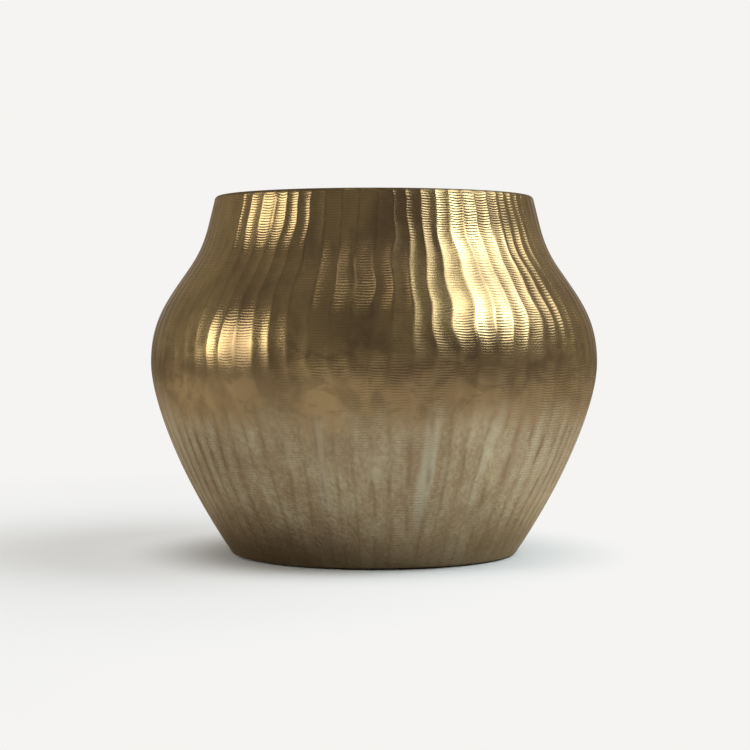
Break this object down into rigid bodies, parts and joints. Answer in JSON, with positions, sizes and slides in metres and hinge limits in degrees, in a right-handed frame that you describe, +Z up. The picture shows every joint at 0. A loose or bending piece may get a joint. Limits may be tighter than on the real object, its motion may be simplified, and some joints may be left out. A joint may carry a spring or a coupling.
{
  "type": "metal vase",
  "caption": "Wide-bellied open vase of hammered, vertically fluted sheet metal with a rolled wired rim and a flat set-in bottom.",
  "frame": {"origin": "on the vase's axis, at the lower faces of its pads", "axes": "+Z up along the vase's axis, out of the mouth; the vase has no front, and -Y faced the camera"},
  "size_m": [0.28, 0.2799, 0.2241],
  "materials": {
    "brass": "hammered, antique brown patina, satin",
    "brazing": "as run, dull",
    "iron_wire": "plain drawn wire",
    "pads": "matt"
  },
  "bodies": {
    "root": {"upper_shell": "brass", "lower_shell": "brass", "rim_wire": "iron_wire", "base_plate": "brass", "belly_braze": "brazing", "base_braze": "brazing", "foot_pad_1": "pads", "foot_pad_2": "pads", "foot_pad_3": "pads", "foot_pad_4": "pads"}
  },
  "joints": []
}
